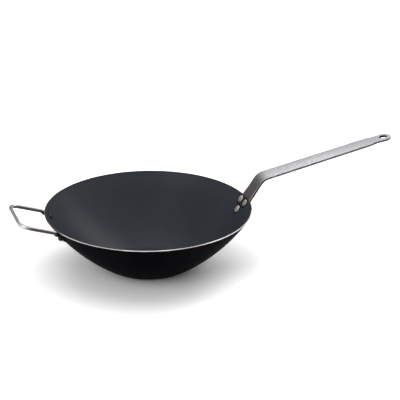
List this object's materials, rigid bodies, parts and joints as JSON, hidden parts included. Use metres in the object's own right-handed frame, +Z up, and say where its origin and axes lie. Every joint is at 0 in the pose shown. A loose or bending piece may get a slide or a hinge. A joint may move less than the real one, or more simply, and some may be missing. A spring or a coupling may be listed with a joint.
{
  "type": "carbon steel wok",
  "caption": "Round carbon steel wok with a small flat base, a long strip handle with a hanging eye, and a wire loop helper handle opposite it, all riveted on.",
  "frame": {"origin": "middle of the flat base's underside, on the bowl's axis", "axes": "+Z up along the bowl's axis, +X along the long handle, the loop handle on the -X side"},
  "size_m": [0.6898, 0.36, 0.1893],
  "materials": {
    "dark_steel": "dark blue-grey heat-treated coat, satin",
    "strip_steel": "grey steel strip with a fine pebbled texture",
    "handle_rivet_steel": "dull steel rivet head",
    "polished_wire": "polished steel wire",
    "loop_rivet_steel": "dark steel rivet"
  },
  "bodies": {
    "root": {"bowl": "dark_steel", "long_handle": "strip_steel", "handle_rivet_left": "handle_rivet_steel", "handle_rivet_right": "handle_rivet_steel", "handle_rivet_lower": "handle_rivet_steel", "loop_handle": "polished_wire", "loop_rivet_left": "loop_rivet_steel", "loop_rivet_right": "loop_rivet_steel"}
  },
  "joints": []
}
